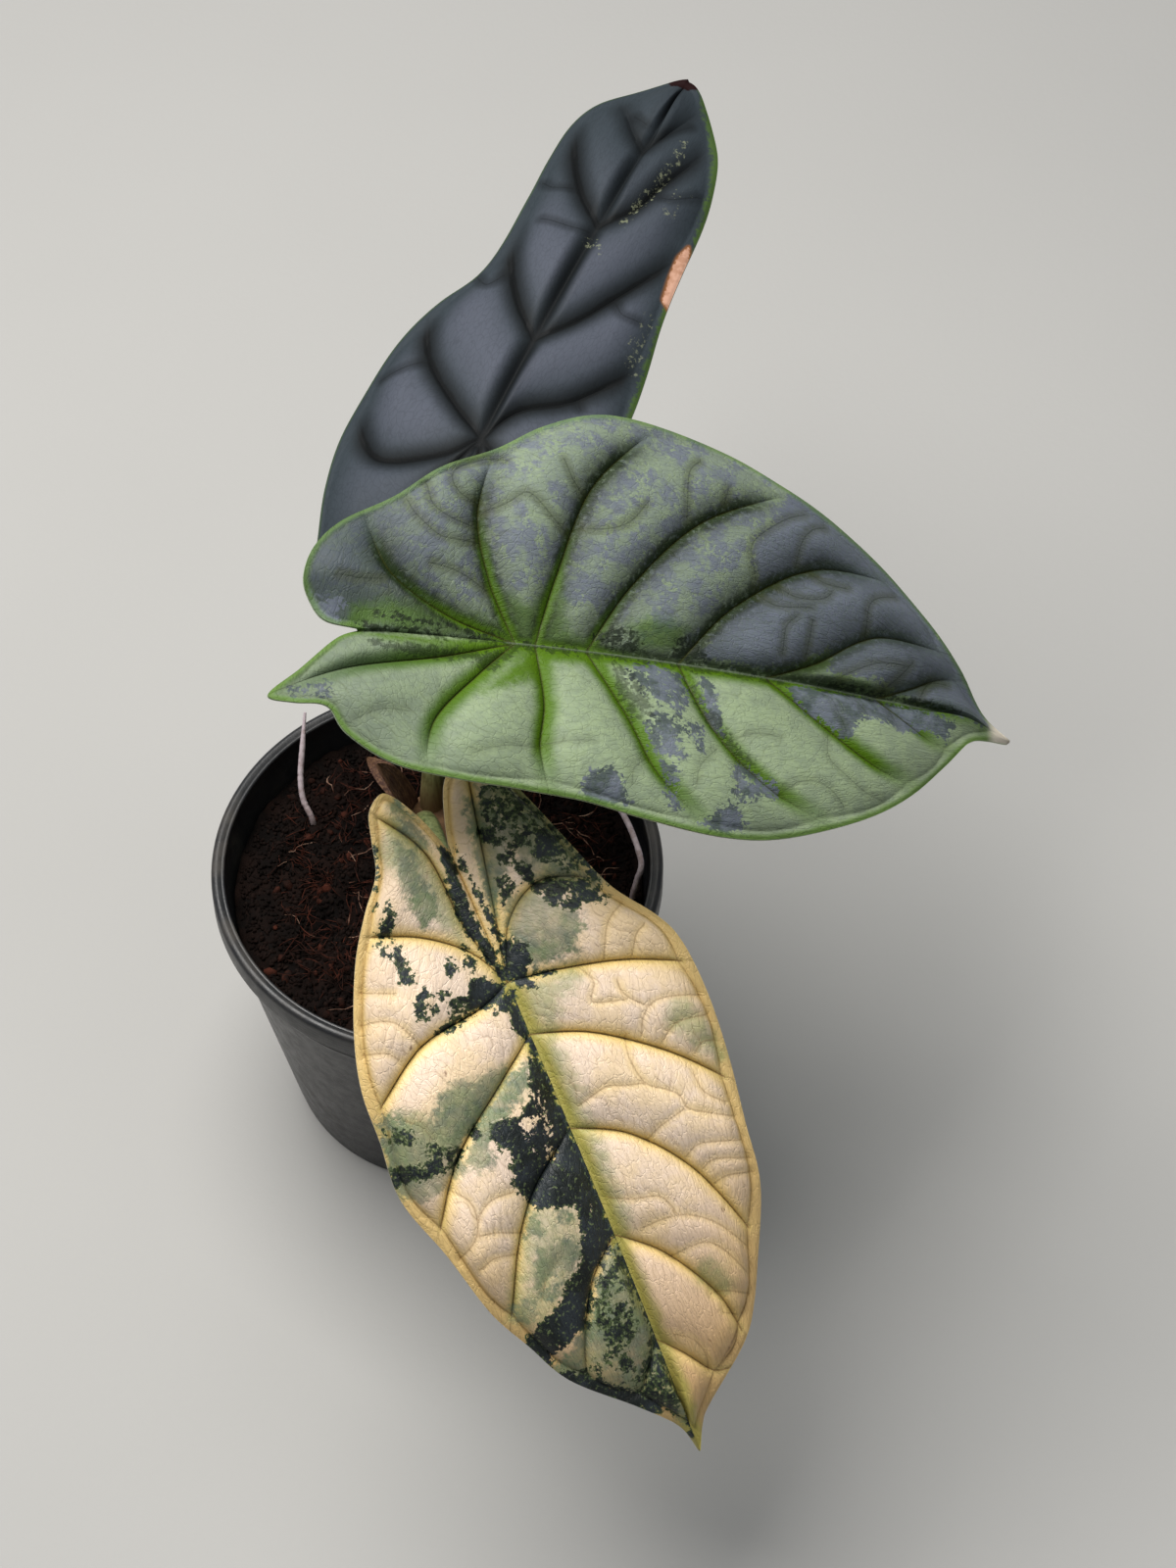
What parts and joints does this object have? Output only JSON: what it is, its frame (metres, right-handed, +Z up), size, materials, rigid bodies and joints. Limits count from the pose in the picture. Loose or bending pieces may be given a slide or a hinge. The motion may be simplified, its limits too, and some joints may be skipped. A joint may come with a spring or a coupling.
{
  "type": "potted silver dragon alocasia",
  "caption": "Small alocasia in a round black nursery pot: quilted, variegated shield leaves on arching stalks that rise from one crown in dark peat and coir.",
  "frame": {"origin": "centre of the pot's underside, on the surface that it stands on", "axes": "+Z up along the pot's axis; the front leaf hangs over the lip towards -Y, the middle leaf reaches towards +X, the back leaf towards +Y"},
  "size_m": [0.2066, 0.3462, 0.2386],
  "materials": {
    "pot": "black moulded polypropylene, slightly glossy on the rolled lip",
    "soil": "near-black damp peat with reddish coir fibres and bark crumbs",
    "rhizome": "rough brown stem base with old leaf scars",
    "blade_front": "cream and peach quilted leaf with near-black green and grey-green blotches, satin",
    "blade_middle": "slate and pale sage green quilted leaf with dark grooves and bright green veins, satin",
    "blade_back": "dark slate quilted leaf with near-black vein grooves, satin",
    "petiole": "smooth pale green leaf stalk with faint darker streaks",
    "root": "pale lilac-white fleshy surface root",
    "cataphyll": "dry brown papery scale leaf"
  },
  "bodies": {
    "root": {"pot": "pot", "soil": "soil", "rhizome": "rhizome", "blade_front": "blade_front", "blade_middle": "blade_middle", "blade_back": "blade_back", "petiole_front": "petiole", "petiole_middle": "petiole", "petiole_back": "petiole", "root_left": "root", "root_right": "root", "cataphyll_upright": "cataphyll", "cataphyll_fallen": "cataphyll"}
  },
  "joints": []
}
